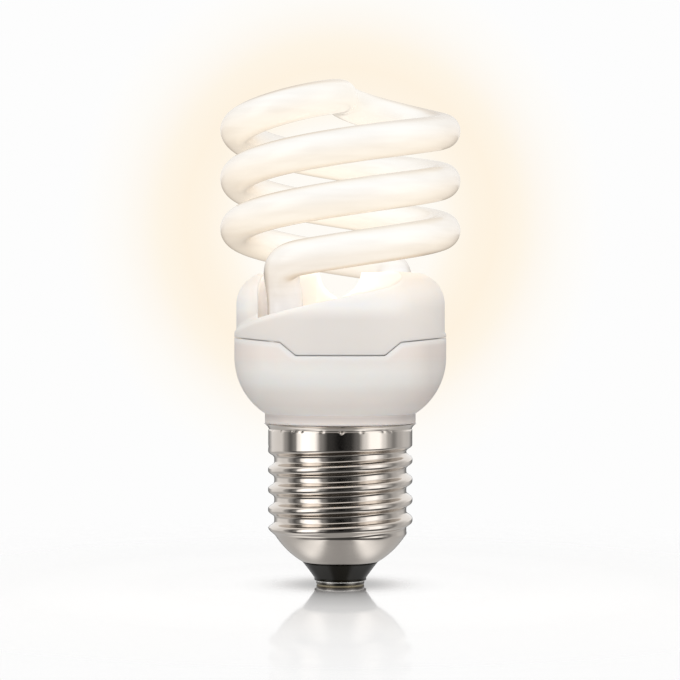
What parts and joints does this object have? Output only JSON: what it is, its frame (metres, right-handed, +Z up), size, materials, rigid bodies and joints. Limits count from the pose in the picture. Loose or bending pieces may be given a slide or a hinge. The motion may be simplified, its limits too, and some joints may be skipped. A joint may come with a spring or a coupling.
{
  "type": "spiral energy saving bulb",
  "caption": "Compact fluorescent lamp: glowing double-helix glass tube on a white ballast housing with a swirl-shaped top, over a nickel-plated screw cap with a black glass insulator.",
  "frame": {"origin": "middle of the bottom contact, at the height of its lower face", "axes": "+Z up along the lamp axis from the contact to the tube's bridge, -Y towards the viewer of the picture, +X to the viewer's right"},
  "size_m": [0.044, 0.044, 0.0923],
  "materials": {
    "lit_glass": "opaque white coating inside clear glass, lit warm white",
    "white_plastic": "smooth moulded, low gloss",
    "nickel": "nickel plate on rolled brass sheet, bright",
    "black_glass": "poured black glass, glossy",
    "contact_metal": "nickel-plated brass, satin",
    "solder": "tin solder, dull",
    "cement": "cast, matte",
    "tinned_wire": "tinned copper, satin",
    "wire_sleeve": "insulated wire, smooth",
    "board": "phenolic paper board, satin",
    "capacitor_sleeve": "shrunk sleeve on an aluminium can",
    "ferrite": "pressed ferrite, matte",
    "bobbin_plastic": "moulded, matte",
    "enamelled_copper": "enamelled copper wire, glossy",
    "black_resin": "moulded resin, matte",
    "film_resin": "dipped resin, glossy",
    "resistor_body": "lacquered ceramic rod",
    "blue_glass": "painted glass bead"
  },
  "bodies": {
    "root": {"spiral_tube": "lit_glass", "upper_cover": "white_plastic", "lower_housing": "white_plastic", "screw_shell": "nickel", "contact_insulator": "black_glass", "centre_contact": "contact_metal", "contact_solder": "solder", "tube_cement": "cement", "tube_leads": "tinned_wire", "wrap_pins": "tinned_wire", "neutral_wire": "tinned_wire", "live_wire": "wire_sleeve", "circuit_board": "board", "electrolytic_capacitor": "capacitor_sleeve", "choke_core": "ferrite", "ring_core": "ferrite", "filter_choke": "ferrite", "choke_bobbin": "bobbin_plastic", "choke_winding": "enamelled_copper", "ring_windings": "enamelled_copper", "transistors": "black_resin", "rectifier_diodes": "black_resin", "resonant_capacitor": "film_resin", "coupling_capacitor": "film_resin", "resistors": "resistor_body", "fuse_resistor": "resistor_body", "trigger_diode": "blue_glass"}
  },
  "joints": []
}
